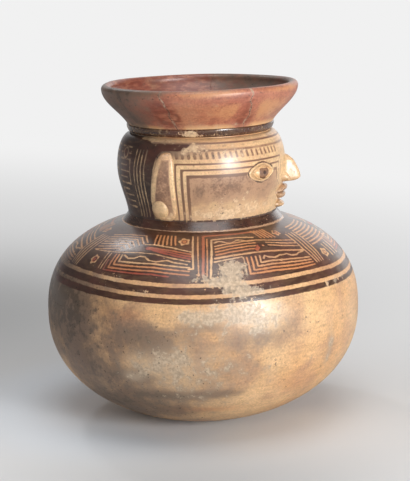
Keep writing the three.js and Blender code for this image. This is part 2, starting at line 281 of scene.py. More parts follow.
class Painting:
    """Dark slip on a light ground, painted stroke by stroke.

    slip is the distance in millimetres to the edge of the dark slip, below zero inside it. tint says how
    the ground is coloured: 0 as it is, 0.5 and 1 as the material's two stains, below 0 in a deeper red.
    wear and the layer of smoke and painted shade are 0 where there is none.
    """

    def __init__(self, angle, down, radius, period=360, slip=NO_SLIP, tint=0, wear=0, smoke=0):
        self.angle, self.down, self.period = angle, down, period
        self.across = radius * np.pi / 180  # millimetres in a degree
        for layer, value in zip(LAYERS, (slip, tint, wear, smoke)):
            setattr(self, layer, np.full(angle.shape, value, float))

    def aside(self, angle):
        """Millimetres from each vertex to an angle, the short way round."""
        half = self.period / 2
        return ((angle - self.angle + half) % self.period - half) * self.across

    def distance(self, points):
        best = np.full(self.angle.shape, 1e3)
        for (angle, down), (next_angle, next_down) in zip(points, points[1:]):
            x, y = self.aside(angle), down - self.down
            run = (next_angle - angle) * self.across
            drop = np.full_like(run, next_down - down)
            length = np.maximum(run * run + drop * drop, 1e-9)
            share = np.clip(-(x * run + y * drop) / length, 0, 1)
            best = np.minimum(best, np.hypot(x + share * run, y + share * drop))
        return best

    def light(self, points, width=1.5, tint=0.0):
        """A stroke of the light ground, left free of dark slip."""
        self.light_where(self.distance(points) - width * LIGHT_STROKE / 2, tint)

    def lights(self, *strokes):
        """Light strokes, each given as its width, its tint and its points."""
        for width, tint, *points in strokes:
            self.light(points, width, tint)

    def wash(self, points, width, tint):
        """A soft stroke of thin coloured slip."""
        self.tint += (tint - self.tint) * smooth(self.distance(points), width / 2 + 0.5, width / 2 - 0.5)

    def dark_where(self, away):
        """Dark slip over all that lies inside, given a signed distance."""
        self.slip = np.minimum(self.slip, away)

    def dark_band(self, top, bottom, away=-1e3):
        """Dark slip between two lines round the jar, where it is inside a signed distance."""
        self.dark_where(np.maximum(np.maximum(top - self.down, self.down - bottom), away))

    def light_where(self, away, tint=0.0):
        self.slip = np.maximum(self.slip, -away)
        self.tint = np.where(away < TINT_SPREAD, tint, self.tint)

    def oval(self, angle, down, width, height, power=2.0):
        """Signed distance to an oval, which a power below 2 makes pointed."""
        x, y = np.abs(self.aside(angle)) / (width / 2), np.abs(down - self.down) / (height / 2)
        return ((x**power + y**power) ** (1 / power) - 1) * min(width, height) / 2

    def wave(self, start, end, down, swing, waves):
        """A wavy light line inside a dark bar."""
        shares = np.linspace(0, 1, int(8 * waves) + 1)
        levels = down - swing * np.sin(2 * np.pi * waves * shares)
        self.light(list(zip(start + (end - start) * shares, levels)), 1.4)

    def flower(self, angle, down, width, height, tint=0.5):
        """A light flower with a dark eye in its coloured middle."""
        self.dark_where(self.oval(angle, down, width * 1.35, height * 1.3))
        x, y = self.aside(angle) / (width / 2), (down - self.down) / (height / 2)
        petals = np.hypot(x, y) - 1 - 0.16 * np.cos(5 * np.arctan2(y, x))
        self.light_where(petals * min(width, height) / 2)
        self.light_where(self.oval(angle, down, width * 0.5, height * 0.5), tint)
        self.dark_where(np.abs(self.oval(angle, down, width * 0.46, height * 0.46)) - 0.35)

    def blots(self, layer, *patches):
        """Soft patches in a layer: angle, place down, width, height and strength."""
        for angle, down, width, height, strength in patches:
            x, y = self.aside(angle) / width, (down - self.down) / height
            setattr(self, layer, getattr(self, layer) + strength * np.exp(-(x * x + y * y)))


def left_panel(art):
    """Bars and a flower over a red wedge, then a wavy bar over nested lines."""
    for i in range(6):
        top = -27.5 + 2.35 * i
        art.light([(top, 11.5), (top + 2.4, 23.6)], 1.5, 0.25)
    art.flower(-9.2, 19, 7.5, 8.5)
    art.lights((1.2, 0, (-30, 24.6), (-24, 24.2), (-15, 26.3), (-5, 31)), (4.4, 1, (-27, 28.4), (-22, 29.4)))
    for i, end in enumerate([33.4, 36, 38.4]):
        art.light([(-26 + i, 28 + 1.2 * i), (-15, 29.6 + 2.2 * i), (-5, end)], 1.5, 0.6 + 0.15 * i)
    art.lights(
        (1.1, 0, (-57, 38), (-40, 35.6), (-30, 33.8), (-22, 34.2), (-5, 40.8)),
        (1.3, 0, (-37, 37.6), (-34, 40.2), (-31, 39.8), (-28.6, 37.4), (-26, 37.6), (-23.5, 40.6),
         (-19.5, 41.4), (-15, 39.8), (-12, 41.6), (-6, 43.4)),
    )
    for i, tint in enumerate([0.0, 0.35, 0.5]):
        left, drop = -38 - 1.8 * i, 44 + 3.1 * i
        art.light([(left, 38), (left + 0.4, drop), (-20, drop - 0.5), (-5, drop + 2.2)], 1.5, tint)
    art.lights(
        (1.3, 0.9, (-43.6, 44), (-43.2, 52.6), (-20, 52.4), (-13, 53.8)),
        (1.1, 0, (-46.8, 38), (-46.4, 52)),
        (1.1, 0, (-44.8, 38), (-44.9, 52)),
    )
    art.flower(-52, 46, 7, 7.5, 0.8)
    for i in range(7):
        fall = 3 * i
        corner, tip = -34.5 - 1.5 * i, -29.5 - 1.9 * i
        art.light([(-58, 19.5 + fall), (-46, 15 + fall), (corner, 13.8 + fall), (tip, 22 + 2 * i)], 1.1, 0.1)


def middle_bundle(art):
    """Upright lines from the neck down to the first band."""
    art.lights(
        (1.4, 0, (-4.8, 12), (-3.4, 47.4), (-5.4, 47.6)),
        (1.1, 0.15, (-2, 12), (-1.2, 53)),
        (2.2, 0.65, (0.4, 54), (1.3, 11.8), (8, 11.2), (30, 11.2), (36, 12)),
        (1.1, 0.3, (3.2, 16), (2, 54)),
        (1.6, 0, (3.3, 55), (5.6, 17.3), (12, 16.4), (22, 16.4), (30, 18.6)),
    )


def right_panel(art):
    """A wavy bar over long curved lines, then a second wavy bar with frets."""
    art.wave(7, 27.5, 21.2, 1.5, 1.9)
    fans = [(25.5, 22, 30), (28.6, 25, 33.8), (31.8, 28.2, 37), (35, 31.4, None)]
    for i, (start, middle, end) in enumerate(fans):
        art.light([(6.8, start), (14, (start + middle) / 2 - 0.6), (24, middle), (28.5, middle + 0.5)],
                  1.5, 0.1 + 0.12 * i)
        if end:
            art.light([(34.5, middle + 1.6), (42, (middle + end) / 2 + 0.6), (51, end)], 1.4, 0.1)
    art.lights((1.4, 0.1, (24, 22), (30, 22.2), (34.5, 23.6)), (3.2, 0.7, (27, 33), (30, 28)))
    art.dark_where(np.abs(art.oval(31.5, 29.4, 5.4, 5.8)) - 0.9)
    art.light_where(art.oval(31.5, 29.4, 1.8, 1.8), 0.4)
    art.lights((1.9, 0.1, (6, 38.4), (14, 36.4), (24, 35.5), (31, 35.7), (40, 37.6), (51, 41.6)),
               (1.3, 0, (5.6, 41.6), (12, 39.8), (18, 38.5)))
    for i in range(5):
        art.light([(33 + 2.2 * i, 10.5), (34.4 + 2.2 * i, 20.6 + 0.5 * i)], 1.5, 0.3)
    art.flower(47.5, 18, 6.5, 7)
    art.light([(27.5, 42), (28.6, 39.9), (30.5, 41.5), (33, 42.7), (36, 41.3), (38.5, 41.6), (40, 41.2),
               (42, 43.5), (45, 44), (47, 42.7), (50, 42.6)], 1.5)
    for i, tint in enumerate([0.05, 0.15, 0.3, 0.35]):
        corner, drop = 25.4 - 2.1 * i, 45.4 + 2.8 * i
        art.light([(corner + 0.9, 39.4), (corner, drop), (30, drop - 0.4), (40, drop + 0.9),
                   (51, drop + 3.2 - 0.6 * i)], 1.5, tint)
    art.light([(18.4, 39.4), (17.6, 53.6)], 1.2)
    for i in range(4):
        art.light([(52.2 + 2.8 * i, 23), (51.4 + 2.5 * i, 40), (53.2 + 1.6 * i, 54)], 1.6)


def last_panel(art):
    """Level lines over a flower and short bars, in place of the start of the third panel."""
    for middle, half, low in ((67.4, 6.6, 55), (76, 15.2, 37.4)):
        art.dark_band(12, low, np.abs(art.aside(middle)) - half * art.across)
    for i in range(9):
        art.light([(61 - 0.05 * i, 15.6 + 3 * i), (86, 15 + 3 * i)], 1.4, 0.25)
    art.flower(63.6, 49.4, 8, 7.6, 0.3)
    for i in range(3):
        art.light([(67.6 + 3.4 * i, 43), (68.4 + 3.2 * i, 54)], 1.7, 0.1)


def down_of(height):
    """Millimetres along the body's outline from the neck down to a height."""
    return body_outside.total - body_outside.length_at_height(height)


def at_heights(*patches):
    """Patches whose second number is a height, for blots."""
    return [(angle, down_of(height), *rest) for angle, height, *rest in patches]


def paint_body(angle, height, radius):
    """The painting, wear, smoke and painted shade of the body's outer face."""
    theta = angle - PAINTING_START
    art = Painting(theta, down_of(height), radius, 120)
    drift = panel_drift(theta)

    # One wide dark zone for the panels, over two narrow bands
    art.dark_band(4, 56 + drift)
    left_panel(art)
    middle_bundle(art)
    right_panel(art)
    art.dark_band(59 + drift, 64.2 + drift)
    art.dark_band(67 + drift, 71.7 + 0.7 * drift)
    art.tint += 0.17 * smooth(art.down, 74, 70)

    # From here on nothing repeats round the jar.
    art.period = 360
    last_panel(art)
    art.light([(51.7, 70), (52.4, 73.5)], 1.6)
    art.blots("wear", (12, 48.5, 10, 8, 1.25), (9, 59, 13, 4, 0.95), (15, 66, 17, 4, 0.9),
              (0, 55, 9, 5, 0.45), (-22, 66, 8, 3, 0.5), (60, 71, 14, 4, 0.5), (52.6, 71.5, 3, 2.5, 0.42),
              (-38, 58, 16, 6, 0.3))
    art.blots("wear", *at_heights(
        (14, 101, 28, 9, 0.72), (22, 92, 16, 8, 0.4), (-5, 100, 9, 5, 0.75), (3, 99.5, 7, 4, 0.6),
        (-15.5, 66, 26, 9, 0.4), (51, 68, 4, 18, 0.5), (-26, 55, 7, 4, 0.6), (-2, 58, 52, 34, 0.4)))
    # Smoke from the firing. The patches on the left and the broad one near the bottom are partly painted
    # shade, away from the key light and under the jar. The wide faint one right of the front greys the ground
    # round the key light's highlight.
    art.blots("smoke", *at_heights(
        (-72, 84, 40, 40, 0.85), (2, 62, 40, 34, 0.26), (-10, 32, 36, 14, 0.4), (-52, 86, 22, 20, 0.55),
        (-41, 54, 34, 26, 0.85), (-20, 83, 26, 11, 0.75), (-16, 58, 56, 40, 0.36), (-24, 55, 10, 5, 0.75),
        (-16, 41, 24, 5, 0.8), (5.5, 42, 14, 4, 0.7), (-42, 31, 40, 12, 0.5), (1, 94, 15, 4, 0.5),
        (20, 84, 20, 8, 0.45), (51, 66, 5, 16, 0.5), (-54, 106, 50, 22, 0.8), (-80, 114, 44, 26, 0.75),
        (28, 84, 34, 32, 0.27), (-44, 20, 60, 18, 0.7), (165, 84, 70, 44, 0.7), (110, 40, 60, 24, 0.5)))
    art.blots("tint", *at_heights(
        (-28, 100, 22, 7, 0.24), (-2, 27, 34, 6, 0.3), (34, 44, 34, 14, 0.16), (-49, 65, 14, 8, 0.2)))
    return art


def ear_edges(highness):
    """The share of an ear's width that is left at a height on it, and its middle's step to the front.

    The front edge is upright, and the back edge leans towards it in the upper part.
    """
    lost = EAR_TAPER * np.maximum(highness + 0.4, 0) / 1.4
    return 1 - lost, lost * EAR_WIDTH / 2


def paint_head(angle, height, radius):
    """The painting of the neck: a plain face, painted frames and a dark back of the head."""
    side = np.abs(wrapped(angle))
    art = Painting(side, PAINTED_TOP - height, radius, 1000)
    highness = (height - SHOULDER_HEIGHT - EAR_LEVEL) * 2 / EAR_HEIGHT
    left, forward = ear_edges(highness)
    behind_ear = (EAR_ANGLE - side) * NECK_BULGE_RADIUS * np.pi / 180 - forward + left * EAR_WIDTH / 2

    # The back of the head is dark up to the ear's cream edge, with upright lines and frets of level ones.
    top = 6 - 4.6 * smooth(side, 118, 127)
    art.dark_where(np.maximum(behind_ear + 1.6 - 7 * smooth(highness, 0.8, 1.25), top - art.down))
    art.dark_band(6, 10.6, (88 + 1.6 * (art.down - 6) - side) * art.across)
    for angle_there in (124.4, 127.6, 130.8, 134):
        art.light([(angle_there - 3, 11), (angle_there - 1, 24), (angle_there, 60)], 1.2)
    for first, last in ((138, 152), (158, 172)):
        for i in range(11):
            down = 10 + 4.4 * i
            start = first + (4 if 2 < i < 8 and i % 2 else 0)
            art.light([(start, down), (last, down)], 1.3)
        art.lights((1.2, 0, (first, 18.8), (first, 36.4)), (1.2, 0, (last, 40.8), (last, 54)))
    art.dark_where(art.oval(145, 14.4, 10, 10))
    art.light_where(np.abs(art.oval(145, 14.4, 6.5, 7)) - 0.7)
    art.light([(177, 10), (177, 56)], 1.3)

    # A brown wash covers the sides of the face, and worn cream lines run round the top of the head.
    art.tint = 0.56 * smooth(side, 6, 30) * smooth(side, 106, 99)
    art.tint *= smooth(art.down, 15, 17) * smooth(art.down, 57, 40)
    art.wash([(0, 6), (118, 6)], 1.9, 1.1)
    art.wash([(0, 10.4), (118, 10.4)], 1.5, 0.8)
    art.lights((2, 0, (0, 3.5), (131, 3.2)), (2, 0, (0, 8), (88, 8)))

    # Nested light frames on a brown wash, from the ear to the nose, under a row of short strokes
    for i in range(3):
        left, top, right = 101.4 - 4.1 * i, 17.4 + 4.2 * i, 13.5 + 3 * i
        gap = [(left - 2, 60), (left - 2, top + 2.1), (right + 1.5, top + 2.1), (right, 40 - 2 * i)]
        art.wash(gap, 2.5, 1.25)
        art.light([(left, 60), (left, top), (right, top), (right - 0.8, 40 - 2 * i)], 2.0 - 0.35 * i)
    for i in range(20):
        at = 99 - 4.1 * i
        art.wash([(at, 12.4), (at - 0.6, 15.4)], 1.8, 1.4 - 0.03 * i)

    # A dark outline round the eye, and its brown middle
    eye_down = PAINTED_TOP - (SHOULDER_HEIGHT + EYE_LEVEL)
    art.dark_where(art.oval(EYE_ANGLE, eye_down, EYE_WIDTH + 2.6, EYE_HEIGHT + 2.6, EYE_POINTEDNESS))
    art.light_where(art.oval(EYE_ANGLE, eye_down, EYE_WIDTH + 0.6, EYE_HEIGHT + 0.6, EYE_POINTEDNESS))
    lid = eye_down - 2.4 - art.down
    art.light_where(np.maximum(art.oval(EYE_ANGLE, eye_down, 8, 8), lid), 0.9)
    art.dark_where(np.maximum(art.oval(EYE_ANGLE, eye_down, 3.2, 3.2), lid))

    # Dark slip in the corner at the neck's foot
    art.dark_where(height - (SHOULDER_HEIGHT + FOOT_ROLL_HEIGHT + 1.2))
    # Behind the ears the ground is darkened, partly as painted shade, and more in two patches.
    art.smoke = 0.6 * smooth(side, 104, 128)
    art.blots("smoke", (108, 11, 20, 4.5, 0.95), (74, 38, 12, 12, 0.3))
    art.blots("tint", (66, 37, 18, 9, 0.3), (96, 10, 16, 4, 0.9))
    art.blots("wear", (52, 56, 26, 6, 0.6), (84, 58, 14, 6, 0.45), (91, 10, 13, 6, 0.62),
              (116, 4, 16, 2.5, 0.45), (62, 14, 16, 6, 0.4), (60, 46, 26, 9, 0.35), (20, 30, 8, 12, 0.4),
              (5, 16, 20, 8, 0.35))
    return art


def paint_ear(angle, height, radius):
    """A brown wash inside a cream edge."""
    side = np.abs(wrapped(angle))
    art = Painting(side, PAINTED_TOP - height, radius, 1000)
    up = height - (SHOULDER_HEIGHT + EAR_LEVEL)
    half_width, half_height = EAR_WIDTH / 2, EAR_HEIGHT / 2
    left, forward = ear_edges(up / half_height)
    middle = (EAR_ANGLE - side) * art.across - forward - 1.4
    inside = np.maximum(np.abs(middle) - (half_width * left - 4), np.abs(up) - (half_height - 4.8))
    art.tint = 0.85 * smooth(inside, 0.8, -0.8)
    # The ear darkens towards its back edge, partly as painted shade.
    art.smoke = 0.25 * smooth(side, 108, 120)
    art.blots("wear", (106, 58, 5, 10, 0.55), (112, 20, 8, 4, 0.5))
    return art


def paint_rim(angle, height, radius):
    """Smoke and painted shade on the red slip of the rim, lighter patches that are partly painted highlight,
    and the worn strip at its foot.
    """
    theta = wrapped(angle - PAINTING_START)
    level = height - NECK_TOP
    # The left of the rim and of its lip is darkened: smoke, and painted shade on the side away from the key
    # light.
    smoked = 0.95 * smooth(theta, -26, -52) * smooth(theta, -175, -130)
    art = Painting(theta, level, radius, tint=0.95 * smooth(level, 11, 6.5), smoke=smoked)
    art.blots("smoke", (-40, 34, 34, 3, 0.7), (100, 20, 30, 20, 0.35), (0, 36, 200, 1.6, 0.3),
              (-30, 21, 16, 14, 0.3))
    # The first three patches lighten the front of the lip and the rim's front right, where the key light's
    # highlights fall: worn slip and painted highlight.
    art.blots("tint", (6, 33, 34, 3, 0.38), (62, 33, 20, 2.4, 0.35), (36, 20, 34, 9, 0.5),
              (-28, 21, 16, 12, -0.5), (30, 29, 30, 2.5, -0.4))
    art.blots("wear", (60, 14, 20, 10, 0.2), (4, 8, 26, 2.4, 0.4))
    # Deeper red ran down beside the mended breaks, whose edges are worn.
    for name, line in BREAKS.items():
        line -= PAINTING_START
        art.blots("tint", (line - 3, 15, 6, 15, -1.3), (line + 4, 12, 3, 9, -0.8))
        crack = np.abs(wrapped(angle - break_line(name)(height))) * art.across
        art.wear += 0.5 * np.exp(-((crack / 0.8) ** 2)) * smooth(level, 4, 12)
        art.dark_where(crack - 0.34 * smooth(level, 2, 10))
    return art


def paint_rim_inside(angle, height, radius):
    theta, level = wrapped(angle - PAINTING_START), height - NECK_TOP
    # Painted shade: darker on the right towards the back, away from the key light, and low in the throat,
    # over a faint darkening all round.
    smoked = 0.8 * smooth(np.abs(theta - 118), 76, 30) + 0.5 * smooth(level, 12, 0) + 0.1
    return Painting(theta, level, radius, tint=-0.75, smoke=smoked)


def paint_ridge(angle, height, radius):
    """Glossy dark slip, chipped down to the clay in one place."""
    art = Painting(angle - PAINTING_START, height - NECK_TOP, radius, slip=-0.3)
    art.blots("wear", (-9, 4, 7, 2.4, 1.0), (-40, 3, 9, 2, 0.3), (6, 2, 24, 1.2, 0.55))
    return art


def paint_roll(angle, height, radius):
    """Glossy dark slip with a light line along the lower edge."""
    return Painting(angle, height, radius, slip=radius - (ROLL_EDGE - 1.1), tint=0.55)


def pad_paint(tint):
    """The painting of a pad of cream slip, a little worn."""
    return lambda angle, height, radius: Painting(angle, height, radius, tint=tint, wear=0.25)


def unpainted(angle, height, radius):
    """The bare inside of the jar, evenly darkened and a little worn."""
    return Painting(angle, height, radius, wear=0.25, smoke=0.6)


# Meshes


def stand(name, data):
    """A new object in the scene."""
    thing = bpy.data.objects.new(name, data)
    bpy.context.scene.collection.objects.link(thing)
    return thing


class Parts:
    """Gathers the faces of one piece, with the normal and the UV of each corner."""

    def __init__(self):
        self.faces, self.normals, self.uvs = [], [], []

    def add(self, faces, uvs, normals=None, flip=False):
        normals = np.zeros(faces.shape + (3,)) if normals is None else normals
        turn = slice(None, None, -1 if flip else 1)
        self.faces.append(faces[:, turn])
        self.normals.append(normals[:, turn])
        self.uvs.append(uvs[:, turn])


def new_piece(name, points, parts, layers, slot):
    """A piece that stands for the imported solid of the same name. Its points are in millimetres."""
    corners = np.concatenate([block.ravel() for block in parts.faces]).astype(np.int32)
    sizes = np.concatenate([np.full(len(block), block.shape[1], np.int32) for block in parts.faces])
    mesh = bpy.data.meshes.new(name)
    mesh.vertices.add(len(points))
    mesh.vertices.foreach_set("co", (points * MM).astype(np.float32).ravel())
    mesh.loops.add(len(corners))
    mesh.loops.foreach_set("vertex_index", corners)
    mesh.polygons.add(len(sizes))
    mesh.polygons.foreach_set("loop_start", (np.cumsum(sizes) - sizes).astype(np.int32))
    mesh.update(calc_edges=True)
    mesh.shade_smooth()
    for layer in LAYERS:
        attribute = mesh.attributes.new(layer, "FLOAT", "POINT")
        attribute.data.foreach_set("value", layers[layer].astype(np.float32))
    uv_layer = mesh.uv_layers.new(name="OFBake")
    uv_layer.data.foreach_set("uv", np.concatenate([block.reshape(-1, 2) for block in parts.uvs]).ravel())
    # A corner with no normal of its own keeps the mesh's.
    mesh.normals_split_custom_set(np.concatenate([block.reshape(-1, 3) for block in parts.normals]).tolist())
    mesh.materials.append(materials[slot])
    piece = stand(name + "_look", mesh)
    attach(piece, "root")
    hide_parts(name)


def surface_normals(where, along, around, step=0.3):
    """Outward normals of the surface where(along, around), from small steps both ways."""
    up = where(along + step, around) - where(along - step, around)
    across = where(along, around + step) - where(along, around - step)
    normal = np.cross(across, up)
    return normal / np.linalg.norm(normal, axis=-1, keepdims=True)


def grid_faces(rows, columns, closed, first=0):
    """Quads of a grid whose vertices run column by column in each row."""
    row, column = np.meshgrid(np.arange(rows - 1) * columns, np.arange(columns - (not closed)), indexing="ij")
    near, beside = row + column, row + (column + 1) % columns
    return np.stack([near, beside, beside + columns, near + columns], axis=-1).reshape(-1, 4) + first


UV_MARGIN = 0.006
STRIPS = 3  # the level strips of an outer face's UVs
OUTER_TOP, INNER_TOP = 0.86, 0.97  # where the UVs of the outer and the inner face end
EDGE_STEP = 0.012  # the height of the UVs of a face on an edge
EDGE_TOP = INNER_TOP + EDGE_STEP


def strip_uvs(rows, quads_across, strips, low, high):
    """UVs of a grid that is cut into level strips, stacked from low to high."""
    row, column = np.meshgrid(np.arange(rows - 1), np.arange(quads_across), indexing="ij")
    wide, tall = quads_across / strips, (high - low) / strips
    strip = np.floor(column / wide)
    margin = min(UV_MARGIN, tall / 4)

    def spot(of_row, of_column):
        u = UV_MARGIN + np.clip(of_column / wide - strip, 0, 1) * (1 - 2 * UV_MARGIN)
        v = low + strip * tall + margin + of_row / (rows - 1) * (tall - 2 * margin)
        return np.stack([u, v], axis=-1)

    corners = [spot(row, column), spot(row, column + 1), spot(row + 1, column + 1), spot(row + 1, column)]
    return np.stack(corners, axis=2).reshape(-1, 4, 2)


SHERD_ROWS = 56  # rows of vertices up a sherd
FEWEST_ROWS = 5


def wall(name, outside, inside, columns, spacing, paint, slot, paint_in=None, offset=0.0, breaks=None,
         inner_spacing=4.0, round_top=False):
    """A ring of wall between two outlines, or the part of one between two breaks.

    breaks are two functions from a height to an angle. An outline that begins beside the axis is closed
    there with a fan. round_top shades the face at the top as one with both sides, as on a lip.
    """
    closed = breaks is None
    shares = np.arange(columns) / columns if closed else np.linspace(0, 1, columns)
    edges = breaks or [lambda height: height * 0 - 180, lambda height: height * 0 + 180]
    quads_across = columns - (not closed)
    parts, points, arts, facings, counts = Parts(), [], [], [], []
    first = 0
    for curve, gap, painter, inner in (
        (outside, spacing, paint, False),
        (inside, inner_spacing, paint_in or unpainted, True),
    ):
        rows = max(int(round(curve.total / gap)) + 1, FEWEST_ROWS) if closed else SHERD_ROWS
        lengths = np.linspace(0, curve.total, rows)
        spots = curve.at(lengths)
        ends = [edge(spots[:, 1:]) for edge in edges]
        around = ends[0] + (ends[1] - ends[0]) * shares
        along = np.broadcast_to(lengths[:, None], around.shape)

        def where(length, angle, curve=curve):
            spot = curve.at(length)
            return place(spot[..., 0], spot[..., 1], angle, offset)

        facing = surface_normals(where, along, around).reshape(-1, 3) * (-1 if inner else 1)
        height = np.broadcast_to(spots[:, 1:], around.shape)
        arts.append(painter(around, height, np.broadcast_to(spots[:, :1], around.shape)))
        points.append(where(along, around).reshape(-1, 3))
        quads = grid_faces(rows, columns, closed, first)
        low, high = (OUTER_TOP, INNER_TOP) if inner else (0, OUTER_TOP)
        uvs = strip_uvs(rows, quads_across, 1 if inner else STRIPS, low, high)
        parts.add(quads, uvs, facing[quads - first], flip=inner)
        facings.append(facing)
        counts.append(rows)
        first += rows * columns

    # The level faces that join the two sides at the top and the bottom
    inner_first = counts[0] * columns
    column = np.arange(quads_across)
    beside = (column + 1) % columns
    facing = np.concatenate(facings)
    bowl = outside.at(0)[0] < 2 * POLE_RADIUS
    for i, (outer, inner) in enumerate([(0, inner_first), (inner_first - columns, first - columns)]):
        if bowl and i == 0:
            continue
        quads = np.stack([outer + column, outer + beside, inner + beside, inner + column], axis=-1)
        uvs = strip_uvs(2, quads_across, 1, INNER_TOP + EDGE_STEP * i, EDGE_TOP + EDGE_STEP * i)
        parts.add(quads, uvs, facing[quads] if round_top and i else None, flip=i == 0)
    layers = {layer: np.concatenate([getattr(art, layer).ravel() for art in arts]) for layer in LAYERS}

    if not closed:  # the two broken faces
        row = np.arange(counts[0] - 1) * columns
        for side in (0, columns - 1):
            outer, inner = row + side, row + side + inner_first
            quads = np.stack([outer, inner, inner + columns, outer + columns], axis=-1)
            parts.add(quads, strip_uvs(counts[0], 1, 1, INNER_TOP, EDGE_TOP), flip=side == 0)
    if bowl:  # the fans that close its outside and its inside
        for start, inner in ((0, False), (inner_first, True)):
            points.append(np.array([[0, -offset, points[inner][0, 2]]]))
            layers = {layer: np.append(values, values[start]) for layer, values in layers.items()}
            fan = np.stack([start + column, start + beside, np.full(columns, first)], axis=-1)
            uvs = strip_uvs(2, columns, 1, INNER_TOP + EDGE_STEP * inner, EDGE_TOP + EDGE_STEP * inner)
            parts.add(fan, uvs[:, :3], flip=not inner)
            first += 1
    new_piece(name, np.concatenate(points), parts, layers, slot)


HIDDEN_UVS = np.array([[0.01, 0.01], [0.03, 0.01], [0.03, 0.03], [0.01, 0.03]])
PAD_STEP = 0.12  # for its normals
RING_CROWDING = 0.8  # below 1, the rings of a pad crowd towards its edge


def pad(name, angle, level, width, height, power, lift, paint, slot="cream_slip", rings=26, steps=96,
        base=0, edges=lambda highness: (1, 0), front=1, settle=0):
    """A pad of clay on the head's barrel. lift(x, y, share) is how far it stands out at a place on it.

    edges gives the share of the width that is left at a height, and the step to the front there. settle
    is 1 where the corners move up until the upper edge is straight, and -1 where they move down.
    """
    reach = np.linspace(0, 1, rings + 1)[1:] ** RING_CROWDING
    turn = np.arange(steps) * 2 * np.pi / steps
    rim = np.stack([np.cos(turn), np.sin(turn)], axis=-1)
    rim = np.sign(rim) * np.abs(rim) ** (2 / power)
    spots = reach[:, None, None] * rim * [width / 2, height / 2]
    x, y = (np.append(spots[..., i], 0) for i in range(2))

    def turned(up, across):
        """The angle round the jar of a place on the pad."""
        left, forward = edges(2 * up / height)
        return angle + np.degrees((across * left + front * forward) / NECK_BULGE_RADIUS)

    def where(up, across, sunk=0.0):
        share = (np.abs(2 * across / width) ** power + np.abs(2 * up / height) ** power) ** (1 / power)
        edge_height = (1 - np.minimum(np.abs(2 * across / width), 1) ** power) ** (1 / power)
        raised = up + settle * (1 - edge_height) * height / 2
        seat = neck_radius(level + raised) + base - sunk
        around = turned(up, across)
        out = lift(across, up, np.minimum(share, 1)) if not sunk else 0
        point = place(seat, SHOULDER_HEIGHT + level + raised, around, NECK_OFFSET)
        outward = np.radians(around)
        return point + np.stack([out * np.sin(outward), -out * np.cos(outward), 0 * outward], axis=-1)

    facing = surface_normals(where, y, x, PAD_STEP)
    # Under it lie a skirt and a flat underside, hidden in the wall.
    count = rings * steps
    edge = slice(count - steps, count)
    points = np.concatenate([where(y, x), where(y[edge], x[edge], SUNK), where(y[-1:], x[-1:], SUNK)])
    column = np.arange(steps)
    beside = (column + 1) % steps
    top = grid_faces(rings, steps, True)
    crown = np.stack([np.full(steps, count), column, beside], axis=-1)
    outer, skirt = count - steps, count + 1
    sides = np.stack([outer + column, skirt + column, skirt + beside, outer + beside], axis=-1)
    under = np.stack([skirt + column, np.full(steps, skirt + steps), skirt + beside], axis=-1)

    every_x, every_y = (np.concatenate([values, values[edge], [0]]) for values in (x, y))
    flat = np.stack([0.02 + 0.96 * (every_x / width + 0.5), 0.06 + 0.92 * (every_y / height + 0.5)], axis=-1)
    parts = Parts()
    parts.add(top, flat[top], facing[top], flip=True)
    parts.add(crown, flat[crown], facing[crown])
    for faces in (sides, under):
        parts.add(faces, np.broadcast_to(HIDDEN_UVS[: faces.shape[1]], faces.shape + (2,)))
    around = turned(every_y, every_x)
    art = paint(around, SHOULDER_HEIGHT + level + every_y, np.full(around.shape, NECK_BULGE_RADIUS))
    new_piece(name, points, parts, {layer: getattr(art, layer) for layer in LAYERS}, slot)


# Materials


def colour(code):
    """A linear colour from its written one."""
    parts = [int(code[i : i + 2], 16) / 255 for i in (1, 3, 5)]
    return [part / 12.92 if part <= 0.04045 else ((part + 0.055) / 1.055) ** 2.4 for part in parts] + [1.0]


